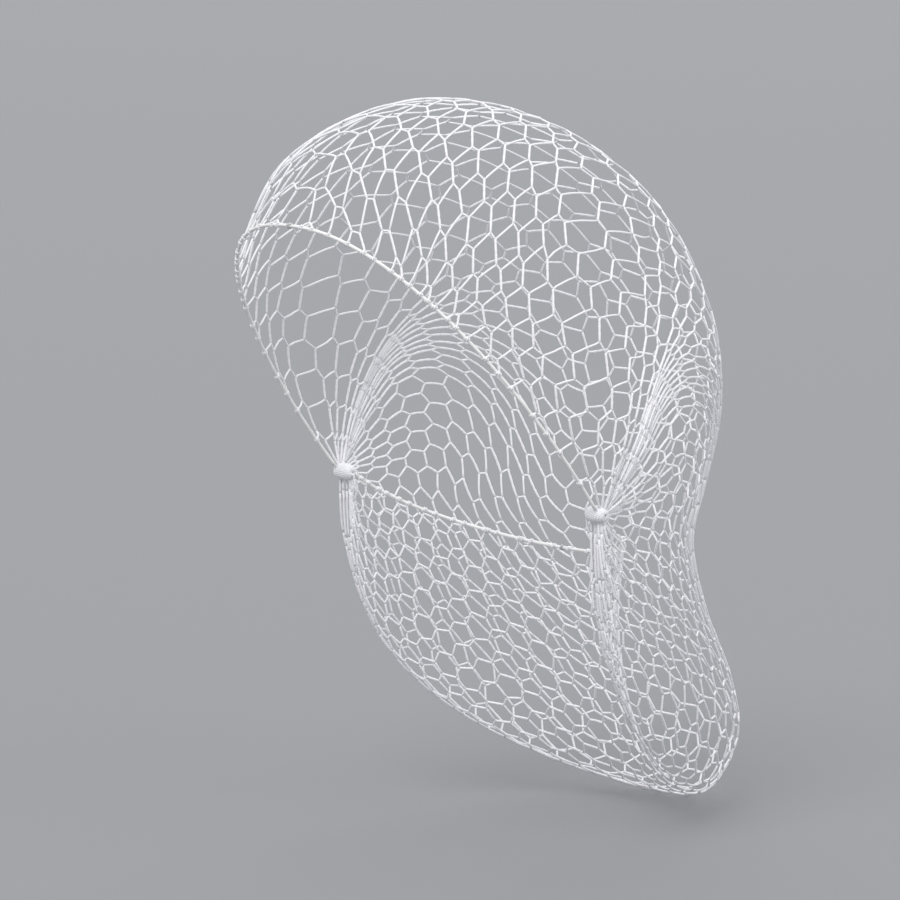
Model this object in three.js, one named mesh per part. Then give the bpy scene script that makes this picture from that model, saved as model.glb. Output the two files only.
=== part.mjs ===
// Snood hairnet: a knitted net slung like a hammock between two gathers, one at each side.
// The net runs from a front edge over the crown, down the back and round a hanging pouch to a nape edge.
// Millimetres, in the form it has in use: +X to its left side, +Y to its back, +Z up.
// The origin is the top of the crown on the midline, where the net is held up.
import * as THREE from 'three';

// Gathers: the bound bunches that all hoops of the net run into, one at each side
const GATHER = new THREE.Vector3(75, 22, -159);
const GATHER_RADIUS = 3.5;
const GATHER_LENGTH = 10;
const GATHER_INSET = 2.5;
const GATHER_FLUTES = 10;
const FLUTE_DEPTH = 0.5;
const POINTS_PER_FLUTE = 4;
const GATHER_BEVEL = 0.8;
const GATHER_BEVEL_STEPS = 2;

// Hoops of the net, in order from the front edge to the nape edge. Each runs from gather to gather:
// y and z place its middle, half is how far it bulges to the side, full is the exponent of its
// superellipse, and hang above 1 lets it drop straight from the gather before it turns back.
const HOOPS = [
  { y: -73, z: -43, half: 77, full: 2.3, hang: 1.0 },
  { y: -50, z: -14, half: 81, full: 2.25, hang: 1.0 },
  { y: 0, z: 0, half: 82, full: 2.2, hang: 1.0 },
  { y: 54, z: -10, half: 82, full: 2.2, hang: 1.0 },
  { y: 102, z: -39, half: 82, full: 2.2, hang: 1.0 },
  { y: 131, z: -81, half: 81, full: 2.2, hang: 1.0 },
  { y: 138, z: -121, half: 79, full: 2.2, hang: 1.0 },
  { y: 129, z: -159, half: 77, full: 2.2, hang: 1.0 },
  { y: 123, z: -187, half: 76, full: 2.2, hang: 1.1 },
  { y: 136, z: -219, half: 75, full: 2.2, hang: 1.25 },
  { y: 158, z: -251, half: 75, full: 2.1, hang: 1.4 },
  { y: 165, z: -279, half: 75, full: 2.1, hang: 1.5 },
  { y: 146, z: -299, half: 74, full: 2.1, hang: 1.6 },
  { y: 118, z: -291, half: 71, full: 2.1, hang: 1.7 },
  { y: 96, z: -263, half: 69, full: 2.1, hang: 1.7 },
  { y: 82, z: -224, half: 68, full: 2.1, hang: 1.5 },
  { y: 76, z: -189, half: 68, full: 2.2, hang: 1.1 },
];
// Share of a hoop near the gather over which its side bulge eases in, and how much wider rows lie at the top
const EASE_REACH = 0.35;
const ROW_SPREAD = 0.33;
// Fineness of the working-out along the midline and of slopes on the surface
const STEPS_PER_HOOP = 40;
const SHARES_PER_COLUMN = 20;
const SLOPE_STEP = 0.01;
const HALVINGS = 50;

// Net: hexagonal cells, long sides along the hoops, rows set off by half a cell
const NET_THICKNESS = 1.2;
const STRAND_WIDTH = 4;
const CELL_COLUMNS = 19;
const CELL_ROWS = 6;
const ROW_PITCH = 0.26;
const GATHER_ROW = 1 / ROW_PITCH;
// Narrowest hole as a share of its cell, and steps of the drawn-in fan beyond the last row
const SLIT_SHARE = 0.3;
const FAN_STEPS = 3;

// Elastic cords along the two edges
const CORD_RADIUS = 0.7;
const CORD_SIDES = 8;
const FACE_CORD_STEPS = 60;
const NAPE_CORD_STEPS = 40;
const CORD_KNOTS = 24;

// Gap left between pieces that meet
const GAP = 0.3;

const WHITE_YARN = new THREE.MeshStandardMaterial({ color: 0xf2f1f4, roughness: 0.85, metalness: 0 });
const WHITE_ELASTIC = new THREE.MeshStandardMaterial({ color: 0xf6f5f3, roughness: 0.6, metalness: 0 });

// Catmull-Rom value of one hoop column at t, where whole numbers of t are the table's rows
function hoopValue(column, t) {
  const last = HOOPS.length - 1;
  const first = Math.min(Math.max(Math.floor(t), 0), last - 1);
  const f = t - first;
  const at = (i) => {
    if (i < 0) return 2 * HOOPS[0][column] - HOOPS[1][column];
    if (i > last) return 2 * HOOPS[last][column] - HOOPS[last - 1][column];
    return HOOPS[i][column];
  };
  const [a, b, c, d] = [at(first - 1), at(first), at(first + 1), at(first + 2)];
  return b + 0.5 * f * (c - a + f * (2 * a - 5 * b + 4 * c - d + f * (3 * (b - c) + d - a)));
}

// Table parameter at each of many equal shares of the midline's length
function midlineShares(count) {
  const fine = STEPS_PER_HOOP * (HOOPS.length - 1);
  const lengths = [0];
  for (let i = 1; i <= fine; i++) {
    const [t0, t1] = [(i - 1) / STEPS_PER_HOOP, i / STEPS_PER_HOOP];
    const dy = hoopValue('y', t1) - hoopValue('y', t0);
    const dz = hoopValue('z', t1) - hoopValue('z', t0);
    lengths.push(lengths[i - 1] + Math.hypot(dy, dz));
  }
  const shares = [];
  let i = 0;
  for (let k = 0; k <= count; k++) {
    const goal = (lengths[fine] * k) / count;
    while (i < fine - 1 && lengths[i + 1] < goal) i++;
    shares.push((i + (goal - lengths[i]) / (lengths[i + 1] - lengths[i])) / STEPS_PER_HOOP);
  }
  return shares;
}

const MIDLINE = midlineShares(CELL_COLUMNS * SHARES_PER_COLUMN);

// Table parameter at column c, from 0 at the front edge to CELL_COLUMNS at the nape edge
function hoopAt(c) {
  const k = c * SHARES_PER_COLUMN;
  const i = Math.min(Math.max(Math.floor(k), 0), MIDLINE.length - 2);
  return MIDLINE[i] + (k - i) * (MIDLINE[i + 1] - MIDLINE[i]);
}

// Point of the net's middle surface at column c and row r, r from 0 on the midline to GATHER_ROW at a gather
function netPoint(c, r) {
  const t = hoopAt(c);
  const [y, z, half, full, hang] = ['y', 'z', 'half', 'full', 'hang'].map((name) => hoopValue(name, t));
  const reach = Math.min(Math.abs(r) / GATHER_ROW, 1);
  const angle = (Math.PI / 2) * reach * (1 + ROW_SPREAD * (1 - reach));
  const near = Math.max(Math.cos(angle), 0) ** (2 / full);
  const ease = Math.max(1 - near / EASE_REACH, 0) ** 2;
  const x = half * Math.sin(angle) ** (2 / full) - Math.max(half - GATHER.x, 0) * ease;
  return new THREE.Vector3(
    Math.sign(r) * x,
    GATHER.y + (y - GATHER.y) * near ** hang,
    GATHER.z + (z - GATHER.z) * near ** (1 / hang),
  );
}

// Unit vectors at a point of the net: along the columns, along the rows, and out of the surface
function netFrame(c, r) {
  const inner = Math.max(r - SLOPE_STEP, -GATHER_ROW);
  const outer = Math.min(r + SLOPE_STEP, GATHER_ROW);
  const along = netPoint(c + SLOPE_STEP, r).sub(netPoint(c - SLOPE_STEP, r)).normalize();
  const across = netPoint(c, outer).sub(netPoint(c, inner)).normalize();
  const out = across.clone().cross(along).normalize();
  return { along, across, out };
}

// Row coordinate on the hoop at column c where it comes within reach of the gather's bunch
function fanEnd(c) {
  let [low, high] = [CELL_ROWS / 2, GATHER_ROW];
  for (let i = 0; i < HALVINGS; i++) {
    const middle = (low + high) / 2;
    const p = netPoint(c, middle);
    if (Math.hypot(p.y - GATHER.y, p.z - GATHER.z) > GATHER_RADIUS + GAP) low = middle;
    else high = middle;
  }
  return low;
}

// Closed wall of the net, gathered as triangles from points given by column and row
class NetWall {
  constructor() {
    this.positions = [];
    this.cache = new Map();
  }

  faces(point) {
    const key = point.map((v) => v.toFixed(6)).join(' ');
    if (!this.cache.has(key)) {
      const middle = netPoint(...point);
      const lift = netFrame(...point).out.multiplyScalar(NET_THICKNESS / 2);
      this.cache.set(key, { outer: middle.clone().add(lift), inner: middle.clone().sub(lift) });
    }
    return this.cache.get(key);
  }

  triangle(...corners) {
    for (const corner of corners) this.positions.push(corner.x, corner.y, corner.z);
  }

  // Both faces of one patch with three corners, given in turn as seen from outside
  patch(a, b, c) {
    const [p, q, s] = [a, b, c].map((point) => this.faces(point));
    this.triangle(p.outer, q.outer, s.outer);
    this.triangle(s.inner, q.inner, p.inner);
  }

  // Wall between the two faces along an edge, with the net on its left as seen from outside
  rim(a, b) {
    const [p, q] = [a, b].map((point) => this.faces(point));
    this.triangle(p.outer, p.inner, q.inner);
    this.triangle(p.outer, q.inner, q.outer);
  }

  geometry() {
    const geometry = new THREE.BufferGeometry();
    geometry.setAttribute('position', new THREE.Float32BufferAttribute(this.positions, 3));
    geometry.computeVertexNormals();
    return geometry;
  }
}

// Corners of the cell round column m and row k, in turn, cut off at the two edges of the net
function cellCorners(m, k) {
  const side = 1 / 3;
  const corners = [
    [m - 0.5, k - side], [m - 0.5, k], [m - 0.5, k + side], [m, k + 2 * side],
    [m + 0.5, k + side], [m + 0.5, k], [m + 0.5, k - side], [m, k - 2 * side],
  ];
  return corners.map(([c, r]) => [Math.min(Math.max(c, 0), CELL_COLUMNS), r]);
}

// One cell: a frame of strands round a hole
function addCell(wall, m, k) {
  const corners = cellCorners(m, k);
  const [left, right] = [corners[1], corners[5]];
  const centre = [(left[0] + right[0]) / 2, k];
  const width = netPoint(...left).distanceTo(netPoint(...right));
  const height = netPoint(centre[0], k - 0.5).distanceTo(netPoint(centre[0], k + 0.5));
  const shareAcross = Math.max(1 - STRAND_WIDTH / width, SLIT_SHARE);
  const shareAlong = 1 - STRAND_WIDTH / height;
  const hole = corners.map(([c, r]) => [
    centre[0] + (c - centre[0]) * shareAcross,
    centre[1] + (r - centre[1]) * shareAlong,
  ]);
  corners.forEach((corner, i) => {
    const j = (i + 1) % corners.length;
    wall.patch(corner, corners[j], hole[j]);
    wall.patch(corner, hole[j], hole[i]);
    wall.rim(hole[j], hole[i]);
    const onEdge = corner[0] === corners[j][0] && (corner[0] === 0 || corner[0] === CELL_COLUMNS);
    if (onEdge) wall.rim(corner, corners[j]);
  });
}

// The drawn-in fan between the last row of cells and one gather; side is 1 on the left and -1 on the right
function addFan(wall, side, apexShift) {
  const rowEnd = (CELL_ROWS - 1) / 2;
  const lines = [];
  for (let j = 0; j <= 2 * CELL_COLUMNS; j++) {
    const c = j / 2;
    const isApex = (j + 2 * apexShift) % 2 === 0;
    const start = rowEnd + (isApex ? 2 / 3 : 1 / 3);
    const end = fanEnd(c);
    const line = [];
    for (let i = 0; i <= FAN_STEPS; i++) line.push([c, side * (start + ((end - start) * i) / FAN_STEPS)]);
    lines.push(line);
  }
  const turned = (a, b, c) => (side > 0 ? wall.patch(c, b, a) : wall.patch(a, b, c));
  const edged = (a, b) => (side > 0 ? wall.rim(b, a) : wall.rim(a, b));
  for (let j = 0; j < lines.length - 1; j++) {
    const [near, far] = [lines[j], lines[j + 1]];
    for (let i = 0; i < FAN_STEPS; i++) {
      turned(near[i], far[i], far[i + 1]);
      turned(near[i], far[i + 1], near[i + 1]);
    }
    edged(far[FAN_STEPS], near[FAN_STEPS]);
  }
  const [first, last] = [lines[0], lines[lines.length - 1]];
  for (let i = 0; i < FAN_STEPS; i++) {
    edged(first[i + 1], first[i]);
    edged(last[i], last[i + 1]);
  }
}

function netGeometry() {
  const wall = new NetWall();
  for (let row = 0; row < CELL_ROWS; row++) {
    const k = row - (CELL_ROWS - 1) / 2;
    const shift = row % 2 === 0 ? 0.5 : 0;
    for (let m = shift; m <= CELL_COLUMNS; m++) addCell(wall, m, k);
  }
  addFan(wall, 1, 0);
  addFan(wall, -1, 0.5);
  return wall.geometry();
}

// Cord beside the edge of the net at column c, laid outward of it, from the right gather to the left
function edgeCord(c, outward, steps) {
  const reach = fanEnd(c);
  const points = [];
  for (let i = 0; i <= CORD_KNOTS; i++) {
    const r = reach * ((2 * i) / CORD_KNOTS - 1);
    const { along, across } = netFrame(c, r);
    const away = along.addScaledVector(across, -along.dot(across)).normalize();
    points.push(netPoint(c, r).addScaledVector(away, outward * (CORD_RADIUS + GAP)));
  }
  const section = new THREE.Shape();
  for (let i = 0; i < CORD_SIDES; i++) {
    const angle = (2 * Math.PI * i) / CORD_SIDES;
    const corner = [CORD_RADIUS * Math.cos(angle), CORD_RADIUS * Math.sin(angle)];
    if (i === 0) section.moveTo(...corner);
    else section.lineTo(...corner);
  }
  return new THREE.ExtrudeGeometry(section, { steps, extrudePath: new THREE.CatmullRomCurve3(points) });
}

// Fluted bunch of drawn-in yarn, its axis from side to side
function gatherGeometry() {
  const outline = new THREE.Shape();
  const count = GATHER_FLUTES * POINTS_PER_FLUTE;
  for (let i = 0; i < count; i++) {
    const angle = (2 * Math.PI * i) / count;
    const radius = GATHER_RADIUS - (FLUTE_DEPTH * (1 - Math.cos(GATHER_FLUTES * angle))) / 2;
    const corner = [radius * Math.cos(angle), radius * Math.sin(angle)];
    if (i === 0) outline.moveTo(...corner);
    else outline.lineTo(...corner);
  }
  return new THREE.ExtrudeGeometry(outline, {
    depth: GATHER_LENGTH - 2 * GATHER_BEVEL,
    bevelThickness: GATHER_BEVEL,
    bevelSize: GATHER_BEVEL,
    bevelOffset: -GATHER_BEVEL,
    bevelSegments: GATHER_BEVEL_STEPS,
  });
}

function named(name, geometry, material) {
  const mesh = new THREE.Mesh(geometry, material);
  mesh.name = name;
  return mesh;
}

function gatherMesh(name, side) {
  const mesh = named(name, gatherGeometry(), WHITE_YARN);
  const inner = GATHER.x + GATHER_INSET - GATHER_LENGTH + GATHER_BEVEL;
  mesh.position.set(side * inner, GATHER.y, GATHER.z);
  mesh.rotation.y = (side * Math.PI) / 2;
  return mesh;
}

const hairnet = new THREE.Group();
hairnet.name = 'hairnet';
hairnet.add(
  named('net', netGeometry(), WHITE_YARN),
  named('face_elastic', edgeCord(0, -1, FACE_CORD_STEPS), WHITE_ELASTIC),
  named('nape_elastic', edgeCord(CELL_COLUMNS, 1, NAPE_CORD_STEPS), WHITE_ELASTIC),
  gatherMesh('gather_left', 1),
  gatherMesh('gather_right', -1),
);

export default hairnet;
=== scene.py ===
"""Snood hairnet: knitted net, elastic edges and side gathers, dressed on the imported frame."""
import math

import bpy
import numpy as np
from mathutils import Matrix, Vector


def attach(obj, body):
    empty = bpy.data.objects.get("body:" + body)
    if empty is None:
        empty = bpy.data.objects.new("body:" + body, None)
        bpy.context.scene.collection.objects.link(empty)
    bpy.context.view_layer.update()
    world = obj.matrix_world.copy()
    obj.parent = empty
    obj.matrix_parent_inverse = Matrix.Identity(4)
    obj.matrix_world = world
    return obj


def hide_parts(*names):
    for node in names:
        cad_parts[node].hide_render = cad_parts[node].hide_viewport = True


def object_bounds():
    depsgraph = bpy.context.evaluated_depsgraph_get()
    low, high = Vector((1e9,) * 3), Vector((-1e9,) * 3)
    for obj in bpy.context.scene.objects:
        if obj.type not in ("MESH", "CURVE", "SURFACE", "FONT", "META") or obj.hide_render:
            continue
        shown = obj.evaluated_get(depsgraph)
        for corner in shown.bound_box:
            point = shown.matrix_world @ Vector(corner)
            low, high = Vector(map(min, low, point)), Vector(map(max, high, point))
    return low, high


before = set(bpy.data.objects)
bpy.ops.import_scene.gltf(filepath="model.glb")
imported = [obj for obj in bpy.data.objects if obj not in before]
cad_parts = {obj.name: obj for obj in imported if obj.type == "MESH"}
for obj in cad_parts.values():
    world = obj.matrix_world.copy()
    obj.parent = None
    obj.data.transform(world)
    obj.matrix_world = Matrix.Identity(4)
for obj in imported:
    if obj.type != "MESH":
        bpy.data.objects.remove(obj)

CAD_BOX = [list(corner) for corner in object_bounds()]
MM = 0.001
SEED = 7
RNG = np.random.default_rng(SEED)

# View: degrees, millimetres and pixels, with a point between the gathers and its place in the picture
CAMERA_AZIMUTH = 46.0
CAMERA_ELEVATION = 9.0
CAMERA_DISTANCE = 2200.0
CAMERA_REACH = 100.0
PIXELS_PER_MM = 2.5
FRAME_PIXELS = 900
SENSOR_MM = 36.0
AIM_POINT = (0.0, 16.0, -159.0)
AIM_PIXEL = (457.0, 494.0)

# Hoops of the net from the front edge to the nape edge, each running from gather to gather.
# y, z: its middle; half: side bulge; full: superellipse exponent; hang: drop before it turns back
HOOPS = np.array([
    (-73, -43, 77, 2.3, 1.0),
    (-50, -14, 81, 2.25, 1.0),
    (0, 0, 82, 2.2, 1.0),
    (54, -10, 82, 2.2, 1.0),
    (102, -39, 82, 2.2, 1.0),
    (131, -81, 81, 2.2, 1.0),
    (138, -121, 79, 2.2, 1.0),
    (129, -159, 77, 2.2, 1.0),
    (123, -187, 76, 2.2, 1.1),
    (136, -219, 75, 2.2, 1.25),
    (158, -251, 75, 2.1, 1.4),
    (165, -279, 75, 2.1, 1.5),
    (146, -299, 74, 2.1, 1.6),
    (118, -291, 71, 2.1, 1.7),
    (96, -263, 69, 2.1, 1.7),
    (82, -224, 68, 2.1, 1.5),
    (76, -189, 68, 2.2, 1.1),
], dtype=float)
GATHER = np.array([75.0, 22.0, -159.0])
# Share of a hoop near the gather over which its side bulge eases in, and how much wider rows lie at the top
EASE_REACH = 0.35
ROW_SPREAD = 0.33
# Fineness of the working-out along the midline and of slopes on the surface
STEPS_PER_HOOP = 40
SLOPE_STEP = 0.25
SLOPE_REACH = 0.002
LEAST_COSINE = 1e-9
LEAST_LENGTH = 1e-12

# Knit: wales are the columns of long sides, courses the rows from the midline out to each gather
WALES = 51
FRONT_WALES = 16
FRONT_LENGTH = 250.0
SPARE_WALES = 12
COURSES = 15
COURSE_PITCH = 1.0 / (COURSES + 0.5)
LONG_SHARE = 0.72
LAST_REACH = 0.999
JITTER_WALE = 0.04
JITTER_COURSE = 0.03
# Each course sits a share of a wale further back than the one above it
STAGGER_FRONT, STAGGER_BACK = 0.25, 0.5
STAGGER_FROM, STAGGER_TO = 6, 22
# A wale's place on the midline, and how far it has moved forward when it reaches its gather
LEANS = np.array([
    (0, 185),
    (150, 185),
    (165, 157),
    (180, 99),
    (210, 65),
    (250, 72),
    (350, 138),
    (376, 144),
    (460, 68),
    (540, 40),
    (640, 0),
], dtype=float)
# Front wales lean evenly, side wales most at first, and back wales between two reaches
SIDE_FROM, SIDE_TO = 150.0, 190.0
BACK_FROM, BACK_TO = 230.0, 300.0
DRAW_FROM, DRAW_TO = 0.2, 0.78
LEAN_START = 0.06
# Courses ride up beside the front edge
LIFT = 0.4
LIFT_WIDTH = 90.0
LIFT_POWER = 2.2
LIFT_FROM, LIFT_TO = 0.25, 0.8
# Strands pile up on each other near the gathers, with a height drawn for each half wale
PILE_HEIGHT = 1.2
PILE_FROM, PILE_TO = 0.6, 0.95
PILE_WALES = np.arange(2 * WALES + 4) / 2 - 0.5
PILE_HEIGHTS = RNG.uniform(-PILE_HEIGHT, PILE_HEIGHT, len(PILE_WALES))
# Halvings that find where a strand crosses an edge, and the shortest strand that is kept
HALVINGS = 30
SHORTEST_STRAND = 0.8

# Yarn and cord sizes
LONG_RADIUS = 0.5
LINK_RADIUS = 0.44
LUMPS = 3
LUMP_DEPTH = 0.14
LONG_STEPS = 8
LINK_STEPS = 4
YARN_SIDES = 6
CORD_RADIUS = 0.7
CORD_GAP = 0.3
CORD_REACH = 0.985
CORD_STEPS = 180
CORD_SIDES = 10
GATHER_RADIUS = 3.5
GATHER_INNER, GATHER_OUTER = 67.8, 77.2
GATHER_CORE = 0.5
GATHER_YARNS = 22
GATHER_YARN_RADIUS = 0.6
GATHER_TWIST = 0.9
GATHER_STEPS = 14
SWELL_POWER = 3
TIE_TURNS = 2
TIE_LENGTH = 1.7
TIE_RADIUS = 0.36
TIE_CLEARANCE = 0.2
TIE_REACH = 0.004
TIE_STEPS = 16

# Yarn looks: name, light colour and painted shade colour for the hollows, twist per mm, plies, bump,
# roughness, sheen
YARNS = (
    ("net_yarn", (0.95, 0.945, 0.95), (0.8, 0.785, 0.83), 0.9, 2, 0.6, 0.75, 0.3),
    ("edge_elastic", (0.95, 0.94, 0.93), (0.84, 0.82, 0.81), 2.4, 1, 0.5, 0.55, 0.15),
    ("gather_yarn", (0.95, 0.945, 0.96), (0.78, 0.765, 0.83), 0.9, 2, 0.6, 0.75, 0.3),
)
FIBRE_SCALE = 900.0
FIBRE_DETAIL = 3.0
PLY_DEPTH = 0.35
# Ramp positions: the painted shade colour of the hollows up to the first, the yarn's own light colour from
# the second
PAINTED_SHADE_FROM, PAINTED_SHADE_TO = 0.1, 0.75
ROUGHNESS_SPREAD = 0.1
RELIEF_DEPTH = 0.15
YARN_SPECULAR = 0.3
# Millimetres of twist by which each strand differs from the one before it
TWIST_OFFSET = 3.7

# Stage: the floor's drop is in millimetres, its radius in metres
FLOOR_DROP = 2.0
FLOOR_RADIUS = 12.0
FLOOR_SIDES = 64
FLOOR_ROUGHNESS = 0.9
FLOOR_SCALE = 3.0
FLOOR_COLOURS = ((0.235, 0.24, 0.25, 1.0), (0.255, 0.26, 0.27, 1.0))
WORLD_COLOUR = (0.9, 0.92, 0.95, 1.0)
WORLD_STRENGTH = 0.7
# Suns: name, strength, spread in degrees, and a place in the direction that the light comes from
SUNS = (
    ("key", 1.7, 30.0, (0.6, -1.6, 2.0)),
    ("fill", 0.8, 60.0, (2.0, 0.6, 0.9)),
    ("back", 1.0, 60.0, (-1.4, 1.6, 1.4)),
)


def make_camera():
    azimuth = math.radians(CAMERA_AZIMUTH)
    elevation = math.radians(CAMERA_ELEVATION)
    back = Vector((
        math.sin(azimuth) * math.cos(elevation),
        -math.cos(azimuth) * math.cos(elevation),
        math.sin(elevation),
    ))
    right = Vector((math.cos(azimuth), math.sin(azimuth), 0.0))
    up = back.cross(right)
    centre = FRAME_PIXELS / 2
    aim = Vector(AIM_POINT)
    aim += right * ((centre - AIM_PIXEL[0]) / PIXELS_PER_MM)
    aim += up * ((AIM_PIXEL[1] - centre) / PIXELS_PER_MM)
    data = bpy.data.cameras.new("camera")
    data.sensor_width = SENSOR_MM
    data.lens = SENSOR_MM * PIXELS_PER_MM * CAMERA_DISTANCE / FRAME_PIXELS
    data.clip_end = CAMERA_REACH
    camera = bpy.data.objects.new("camera", data)
    camera.location = (aim + back * CAMERA_DISTANCE) * MM
    camera.rotation_euler = back.to_track_quat("Z", "Y").to_euler()
    bpy.context.scene.collection.objects.link(camera)
    bpy.context.scene.camera = camera


def smoothstep(low, high, value):
    share = np.clip((value - low) / (high - low), 0.0, 1.0)
    return share * share * (3.0 - 2.0 * share)


def hoop_values(t):
    """Rows of the hoop table at t, on a Catmull-Rom curve through them."""
    last = len(HOOPS) - 1
    rows = np.vstack([2 * HOOPS[0] - HOOPS[1], HOOPS, 2 * HOOPS[last] - HOOPS[last - 1]])
    first = np.clip(np.floor(t).astype(int), 0, last - 1)
    f = (t - first)[..., None]
    a, b, c, d = (rows[first + k] for k in range(4))
    return b + 0.5 * f * (c - a + f * (2 * a - 5 * b + 4 * c - d + f * (3 * (b - c) + d - a)))


# Length along the midline at many values of the hoop table's parameter, and the whole length
MIDLINE_T = np.arange(STEPS_PER_HOOP * (len(HOOPS) - 1) + 1) / STEPS_PER_HOOP
MIDLINE_STEPS = np.diff(hoop_values(MIDLINE_T)[:, :2], axis=0)
MIDLINE_S = np.concatenate([[0.0], np.cumsum(np.hypot(MIDLINE_STEPS[:, 0], MIDLINE_STEPS[:, 1]))])
MIDLINE = MIDLINE_S[-1]


def net_points(s, reach):
    """Points of the net's surface.

    s runs along the midline, and reach from -1 at the right gather to 1 at the left.
    """
    t = np.interp(s, MIDLINE_S, MIDLINE_T)
    y, z, half, full, hang = np.moveaxis(hoop_values(t), -1, 0)
    share = np.minimum(np.abs(reach), 1.0)
    angle = 0.5 * math.pi * share * (1.0 + ROW_SPREAD * (1.0 - share))
    near = np.maximum(np.cos(angle), LEAST_COSINE) ** (2.0 / full)
    ease = np.maximum(1.0 - near / EASE_REACH, 0.0) ** 2
    x = half * np.sin(angle) ** (2.0 / full) - np.maximum(half - GATHER[0], 0.0) * ease
    return np.stack([
        np.sign(reach) * x,
        GATHER[1] + (y - GATHER[1]) * near ** hang,
        GATHER[2] + (z - GATHER[2]) * near ** (1.0 / hang),
    ], axis=-1)


def unit(vectors):
    return vectors / np.maximum(np.linalg.norm(vectors, axis=-1, keepdims=True), LEAST_LENGTH)


def net_slopes(s, reach):
    """Unit vectors along the midline's direction, along the hoop to the left, and out of the surface."""
    low, high = np.clip(s - SLOPE_STEP, 0, MIDLINE), np.clip(s + SLOPE_STEP, 0, MIDLINE)
    along = unit(net_points(high, reach) - net_points(low, reach))
    inner, outer = np.maximum(reach - SLOPE_REACH, -1.0), np.minimum(reach + SLOPE_REACH, 1.0)
    across = unit(net_points(s, outer) - net_points(s, inner))
    return along, across, unit(np.cross(across, along))


def knit_to_midline(wale, reach):
    """Where a wale lies along the midline's direction at a reach, as it leans forward or is drawn in."""
    back_pitch = (MIDLINE - FRONT_LENGTH) / (WALES - FRONT_WALES)
    front_pitch = FRONT_LENGTH / FRONT_WALES
    start = np.minimum(wale, FRONT_WALES) * front_pitch + np.maximum(wale - FRONT_WALES, 0) * back_pitch
    share = np.abs(reach)
    side = smoothstep(SIDE_FROM, SIDE_TO, start)
    back = smoothstep(BACK_FROM, BACK_TO, start)
    eased = np.hypot(share, LEAN_START) - LEAN_START
    course = (1 - side) * eased + (side - back) * (2 - share) * eased
    course = course + back * smoothstep(DRAW_FROM, DRAW_TO, share)
    return start - np.interp(start, LEANS[:, 0], LEANS[:, 1]) * course


def lifted(s, reach):
    """Reach of a knit point once the courses have ridden up beside the front edge."""
    share = np.abs(reach)
    edge = np.maximum(1.0 - np.maximum(s, 0.0) / LIFT_WIDTH, 0.0) ** LIFT_POWER
    lift = 1.0 + LIFT * edge * smoothstep(LIFT_FROM, LIFT_TO, share)
    return np.sign(reach) * np.clip(1.0 - (1.0 - share) * lift, 0.0, 1.0)


def knit_junctions(side):
    """Ends of the long sides on one side, as (course, wale, inner and outer end, wale and reach)."""
    courses = np.arange(COURSES + 1)[:, None, None]
    wales = np.arange(-SPARE_WALES, WALES + 1)[None, :, None]
    stagger = STAGGER_FRONT + (STAGGER_BACK - STAGGER_FRONT) * smoothstep(STAGGER_FROM, STAGGER_TO, wales)
    ends = np.array([-0.5, 0.5])[None, None, :] * LONG_SHARE
    shape = (courses.size, wales.size, ends.size)
    wale = wales + stagger * courses + RNG.normal(0.0, JITTER_WALE, shape)
    reach = (courses + ends) * COURSE_PITCH + RNG.normal(0.0, JITTER_COURSE * COURSE_PITCH, shape)
    wale[0, :, 0] = wales[0, :, 0]
    reach[0, :, 0] = 0.0
    return np.stack([wale, side * np.clip(reach, 0.0, LAST_REACH)], axis=-1)


def knit_sides():
    """Long sides and links of both sides as start and end pairs of wale and reach."""
    long_sides, links = [], []
    for side in (1.0, -1.0):
        points = knit_junctions(side)
        inner, outer = points[:, :, 0], points[:, :, 1]
        long_sides.append(points.reshape(-1, 2, 2))
        steep = np.stack([outer[:-1], inner[1:]], axis=2)
        flat = np.stack([inner[1:, :-1], outer[:-1, 1:]], axis=2)
        gathered = np.stack([outer[-1, :, 0], np.full(outer.shape[1], side)], axis=-1)
        tails = np.stack([outer[-1], gathered], axis=1)
        links += [steep.reshape(-1, 2, 2), flat.reshape(-1, 2, 2), tails]
    return np.concatenate(long_sides), np.concatenate(links)


def on_net(sides, share):
    """Whether the point at a share of each side lies between the two edges of the net."""
    mixed = sides[:, 0] + (sides[:, 1] - sides[:, 0]) * share[:, None]
    s = knit_to_midline(mixed[:, 0], mixed[:, 1])
    return (s >= 0) & (s <= MIDLINE)


def edge_crossings(sides, starts_on_net):
    """Shares just before and just after each side crosses an edge, found by halving."""
    low, high = np.zeros(len(sides)), np.ones(len(sides))
    for _ in range(HALVINGS):
        middle = (low + high) / 2
        same = on_net(sides, middle) == starts_on_net
        low = np.where(same, middle, low)
        high = np.where(same, high, middle)
    return low, high


def edge_points(edge, reach):
    """Centre of the elastic beside the net's front edge (edge 0) or nape edge (edge MIDLINE)."""
    along, across, _ = net_slopes(edge, reach)
    away = unit(along - across * np.sum(along * across, axis=-1, keepdims=True))
    outward = np.where(edge > MIDLINE / 2, 1.0, -1.0) * (CORD_RADIUS + CORD_GAP)
    return net_points(edge, reach) + away * outward[..., None]


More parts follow.
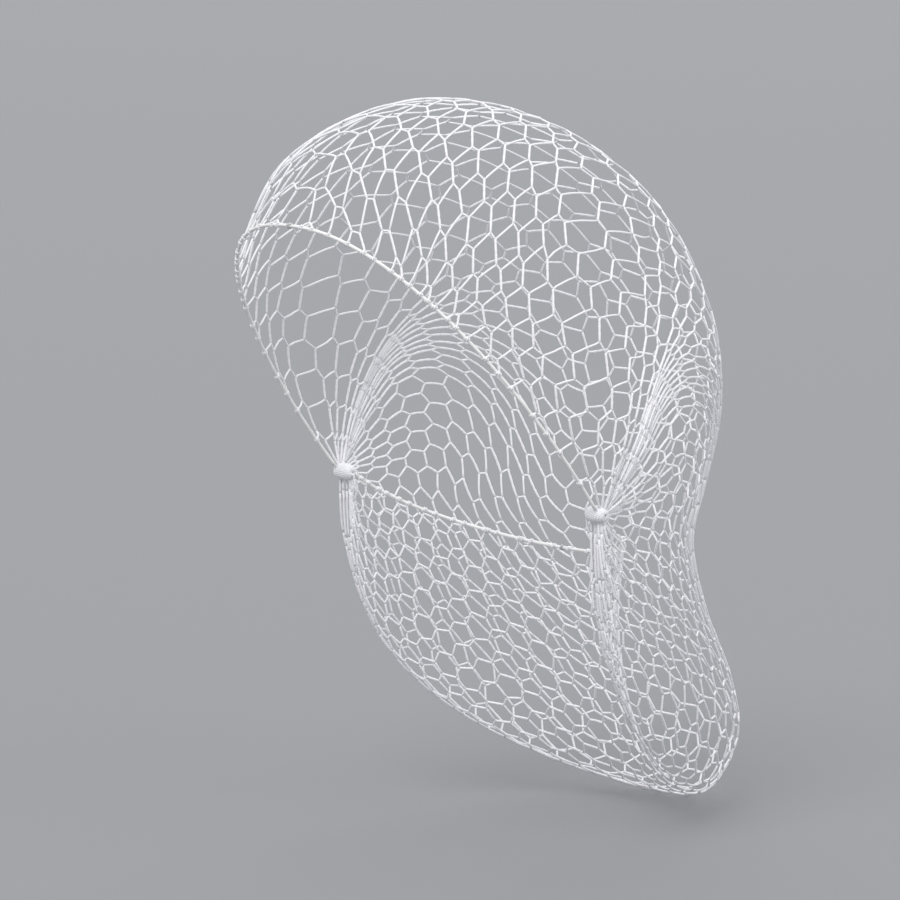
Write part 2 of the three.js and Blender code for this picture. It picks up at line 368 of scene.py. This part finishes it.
def side_paths(sides, steps):
    """Paths on the net for sides given in wale and reach, cut off where they cross the two edges.

    Also gives the way out of the surface along each path, and the edge and reach of each cut end.
    """
    count = len(sides)
    rows = np.arange(count)
    starts_on_net = on_net(sides, np.zeros(count))
    ends_on_net = on_net(sides, np.ones(count))
    cut_at_start = ends_on_net & ~starts_on_net
    cut_at_end = starts_on_net & ~ends_on_net
    cut = cut_at_start | cut_at_end
    before, after = edge_crossings(sides, starts_on_net)
    begin = np.where(cut_at_start, after, 0.0)
    finish = np.where(cut_at_end, before, 1.0)
    share = begin[:, None] + (finish - begin)[:, None] * np.linspace(0, 1, steps + 1)
    mixed = sides[:, None, 0] + (sides[:, None, 1] - sides[:, None, 0]) * share[..., None]
    wale = mixed[..., 0]
    s = np.clip(knit_to_midline(wale, mixed[..., 1]), 0.0, MIDLINE)
    reach = lifted(s, mixed[..., 1])
    out = net_slopes(s, reach)[2]
    pile = np.interp(wale, PILE_WALES, PILE_HEIGHTS) * smoothstep(PILE_FROM, PILE_TO, np.abs(reach))
    points = net_points(s, reach) + out * pile[..., None]
    tip = np.where(cut_at_end, steps, 0)
    edges = np.where(s[rows, tip] < MIDLINE / 2, 0.0, MIDLINE)
    edge_reach = reach[rows, tip]
    points[rows[cut], tip[cut]] = edge_points(edges[cut], edge_reach[cut])
    long_enough = np.linalg.norm(points[:, 0] - points[:, -1], axis=-1) > SHORTEST_STRAND
    kept = (starts_on_net | ends_on_net) & long_enough
    ties = np.stack([edges, edge_reach], axis=-1)[cut & kept]
    return points[kept], out[kept], ties


def tube_uvs(paths, sides):
    """Length and turn at the corners of each tube's quads."""
    count, points = paths.shape[:2]
    step = np.linalg.norm(np.diff(paths, axis=1), axis=-1)
    length = np.concatenate([np.zeros((count, 1)), np.cumsum(step, axis=1)], axis=1)
    length = (length + np.arange(count)[:, None] * TWIST_OFFSET)[:, :, None]
    length = np.broadcast_to(length, (count, points, sides))
    low, high = length[:, :-1], length[:, 1:]
    start = np.broadcast_to(np.arange(sides) / sides, low.shape)
    stop = start + 1 / sides
    corners = ((low, start), (low, stop), (high, stop), (high, start))
    return np.stack([np.stack(corner, axis=-1) for corner in corners], axis=3).reshape(-1, 2)


def tube_mesh(name, paths, radii, outs, sides):
    """One joined mesh of closed tubes along paths of equal point count, with length and turn as UVs."""
    count, points = paths.shape[:2]
    tangent = unit(np.gradient(paths, axis=1))
    beside = unit(np.cross(tangent, outs))
    above = np.cross(beside, tangent)
    turn = np.arange(sides) * (2 * math.pi / sides)
    ring = np.cos(turn)[:, None] * above[:, :, None] + np.sin(turn)[:, None] * beside[:, :, None]
    verts = (paths[:, :, None] + ring * radii[:, :, None, None]) * MM
    index = np.arange(count * points * sides).reshape(count, points, sides)
    near, far = index[:, :-1], index[:, 1:]
    quads = np.stack([near, np.roll(near, -1, 2), np.roll(far, -1, 2), far], axis=-1).reshape(-1, 4)
    caps = np.concatenate([index[:, 0, ::-1], index[:, -1]])
    mesh = bpy.data.meshes.new(name)
    mesh.from_pydata(verts.reshape(-1, 3).tolist(), [], quads.tolist() + caps.tolist())
    cap_uvs = np.zeros((caps.size, 2))
    uvs = np.concatenate([tube_uvs(paths, sides), cap_uvs])
    layer = mesh.uv_layers.new(name="yarn")
    layer.data.foreach_set("uv", uvs.astype(np.float32).ravel())
    mesh.polygons.foreach_set("use_smooth", np.ones(len(mesh.polygons), dtype=bool))
    mesh.update()
    return mesh


def add_piece(name, mesh, material, node):
    mesh.materials.append(material)
    piece = bpy.data.objects.new(name, mesh)
    bpy.context.scene.collection.objects.link(piece)
    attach(piece, "root")
    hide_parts(node)


def math_node(tree, operation, *values):
    """Output of a math node fed by other nodes' outputs or by numbers."""
    node = tree.nodes.new("ShaderNodeMath")
    node.operation = operation
    for socket, value in zip(node.inputs, values):
        if isinstance(value, bpy.types.NodeSocket):
            tree.links.new(value, socket)
        else:
            socket.default_value = value
    return node.outputs[0]


def yarn_material(name, light, painted_shade_colour, twist_per_mm, plies, bump, roughness, sheen):
    """Twisted yarn: slanting plies from the UVs, with uneven fibres that also vary the tone at random, and
    painted shade in the hollows between the plies.
    """
    material = bpy.data.materials.new(name)
    material.use_nodes = True
    tree = material.node_tree
    nodes, links = tree.nodes, tree.links
    shader = nodes["Principled BSDF"]
    shader.inputs["Sheen Weight"].default_value = sheen
    shader.inputs["Specular IOR Level"].default_value = YARN_SPECULAR
    uv = nodes.new("ShaderNodeUVMap")
    uv.uv_map = "yarn"
    split = nodes.new("ShaderNodeSeparateXYZ")
    links.new(uv.outputs["UV"], split.inputs["Vector"])
    along = math_node(tree, "MULTIPLY", split.outputs["X"], twist_per_mm)
    around = math_node(tree, "MULTIPLY_ADD", split.outputs["Y"], plies, along)
    phase = math_node(tree, "MULTIPLY", around, 2 * math.pi)
    wave = math_node(tree, "SINE", phase)
    noise = nodes.new("ShaderNodeTexNoise")
    noise.inputs["Scale"].default_value = FIBRE_SCALE
    noise.inputs["Detail"].default_value = FIBRE_DETAIL
    height = math_node(tree, "MULTIPLY_ADD", wave, PLY_DEPTH, noise.outputs["Fac"])
    # Painted shade: the colour runs from the lilac-grey shade colour where ply wave and fibre noise are low
    # to the light colour where they are high
    ramp = nodes.new("ShaderNodeValToRGB")
    ramp.color_ramp.elements[0].position = PAINTED_SHADE_FROM
    ramp.color_ramp.elements[0].color = (*painted_shade_colour, 1.0)
    ramp.color_ramp.elements[1].position = PAINTED_SHADE_TO
    ramp.color_ramp.elements[1].color = (*light, 1.0)
    links.new(height, ramp.inputs["Fac"])
    links.new(ramp.outputs["Color"], shader.inputs["Base Color"])
    rough = nodes.new("ShaderNodeMapRange")
    rough.inputs["To Min"].default_value = roughness + ROUGHNESS_SPREAD
    rough.inputs["To Max"].default_value = roughness - ROUGHNESS_SPREAD
    links.new(noise.outputs["Fac"], rough.inputs["Value"])
    links.new(rough.outputs["Result"], shader.inputs["Roughness"])
    relief = nodes.new("ShaderNodeBump")
    relief.inputs["Strength"].default_value = bump
    relief.inputs["Distance"].default_value = RELIEF_DEPTH * MM
    links.new(height, relief.inputs["Height"])
    links.new(relief.outputs["Normal"], shader.inputs["Normal"])
    return material


def add_net(material):
    """Long sides and links of the knit; gives the edge and reach of the strands cut at the edges."""
    long_sides, links = knit_sides()
    long_paths, long_outs, long_ties = side_paths(long_sides, LONG_STEPS)
    lumps = 1.0 + LUMP_DEPTH * np.cos(np.linspace(0, 2 * math.pi * LUMPS, LONG_STEPS + 1))
    radii = np.broadcast_to(LONG_RADIUS * lumps, long_paths.shape[:2])
    mesh = tube_mesh("net_pillars", long_paths, radii, long_outs, YARN_SIDES)
    add_piece("net_pillars", mesh, material, "net")
    link_paths, link_outs, link_ties = side_paths(links, LINK_STEPS)
    radii = np.full(link_paths.shape[:2], LINK_RADIUS)
    mesh = tube_mesh("net_links", link_paths, radii, link_outs, YARN_SIDES)
    add_piece("net_links", mesh, material, "net")
    return np.concatenate([long_ties, link_ties])


def add_ties(ties, material):
    """Turns of yarn that bind each cut strand to its elastic."""
    edge, reach = ties[:, 0], ties[:, 1]
    centre = edge_points(edge, reach)
    ahead = edge_points(edge, np.clip(reach + TIE_REACH, -1, 1))
    behind = edge_points(edge, np.clip(reach - TIE_REACH, -1, 1))
    cord = unit(ahead - behind)
    beside = unit(np.cross(cord, net_slopes(edge, reach)[2]))
    out = np.cross(beside, cord)
    share = np.linspace(0, 1, TIE_STEPS + 1)[None, :, None]
    turn = 2 * math.pi * TIE_TURNS * share
    wrap = np.cos(turn) * out[:, None] + np.sin(turn) * beside[:, None]
    paths = centre[:, None] + cord[:, None] * TIE_LENGTH * (share - 0.5)
    paths = paths + wrap * (CORD_RADIUS + TIE_CLEARANCE)
    outs = np.broadcast_to(cord[:, None], paths.shape)
    mesh = tube_mesh("edge_ties", paths, np.full(paths.shape[:2], TIE_RADIUS), outs, YARN_SIDES)
    add_piece("edge_ties", mesh, material, "net")


def add_elastic(name, edge, material, node):
    """Cord along one edge of the net, from gather to gather."""
    reach = np.linspace(-CORD_REACH, CORD_REACH, CORD_STEPS + 1)
    edges = np.full_like(reach, edge)
    path = edge_points(edges, reach)[None]
    outs = net_slopes(edges, reach)[2][None]
    mesh = tube_mesh(name, path, np.full(path.shape[:2], CORD_RADIUS), outs, CORD_SIDES)
    add_piece(name, mesh, material, node)


def add_gather(name, side, material, node):
    """Bunch of drawn-in yarns, twisted round an axis from side to side and closed at both ends."""
    share = np.linspace(0, 1, GATHER_STEPS + 1)[None, :]
    swell = (1 - np.abs(2 * share - 1) ** SWELL_POWER) ** 0.5
    ring = GATHER_CORE + (GATHER_RADIUS - GATHER_YARN_RADIUS - GATHER_CORE) * swell
    turn = np.arange(GATHER_YARNS)[:, None] * (2 * math.pi / GATHER_YARNS) + GATHER_TWIST * share
    round_axis = np.stack([np.zeros_like(turn), np.cos(turn), np.sin(turn)], axis=-1)
    axis = np.zeros_like(round_axis) + GATHER
    axis[..., 0] = side * (GATHER_INNER + (GATHER_OUTER - GATHER_INNER) * share)
    paths = axis + round_axis * ring[..., None]
    mesh = tube_mesh(name, paths, np.full(paths.shape[:2], GATHER_YARN_RADIUS), round_axis, YARN_SIDES)
    add_piece(name, mesh, material, node)


def floor_material():
    """Matt paper with a faint mottle."""
    material = bpy.data.materials.new("floor_paper")
    material.use_nodes = True
    nodes, links = material.node_tree.nodes, material.node_tree.links
    shader = nodes["Principled BSDF"]
    shader.inputs["Roughness"].default_value = FLOOR_ROUGHNESS
    noise = nodes.new("ShaderNodeTexNoise")
    noise.inputs["Scale"].default_value = FLOOR_SCALE
    ramp = nodes.new("ShaderNodeValToRGB")
    for element, colour in zip(ramp.color_ramp.elements, FLOOR_COLOURS):
        element.color = colour
    links.new(noise.outputs["Fac"], ramp.inputs["Fac"])
    links.new(ramp.outputs["Color"], shader.inputs["Base Color"])
    return material


def add_stage():
    """Plain floor just below the pouch."""
    low = CAD_BOX[0][2] - FLOOR_DROP * MM
    bpy.ops.mesh.primitive_circle_add(
        vertices=FLOOR_SIDES, radius=FLOOR_RADIUS, fill_type="NGON", location=(0, 0, low))
    floor = bpy.context.object
    floor.name = "floor"
    floor.data.materials.append(floor_material())


def add_sun(name, strength, spread, place):
    """Even soft light from the direction of a place."""
    data = bpy.data.lights.new(name, "SUN")
    data.energy = strength
    data.angle = math.radians(spread)
    light = bpy.data.objects.new(name, data)
    light.location = place
    light.rotation_euler = Vector(place).to_track_quat("Z", "Y").to_euler()
    bpy.context.scene.collection.objects.link(light)


def add_lights():
    """Three suns in an even pale world."""
    for sun in SUNS:
        add_sun(*sun)
    world = bpy.data.worlds.new("studio")
    world.use_nodes = True
    background = world.node_tree.nodes["Background"]
    background.inputs["Color"].default_value = WORLD_COLOUR
    background.inputs["Strength"].default_value = WORLD_STRENGTH
    bpy.context.scene.world = world
    bpy.context.scene.view_settings.view_transform = "Standard"


make_camera()
net_yarn, elastic_yarn, gather_yarn = (yarn_material(*yarn) for yarn in YARNS)
edge_ends = add_net(net_yarn)
add_ties(edge_ends, net_yarn)
add_elastic("face_cord", 0.0, elastic_yarn, "face_elastic")
add_elastic("nape_cord", MIDLINE, elastic_yarn, "nape_elastic")
add_gather("bunch_left", 1, gather_yarn, "gather_left")
add_gather("bunch_right", -1, gather_yarn, "gather_right")
add_stage()
add_lights()
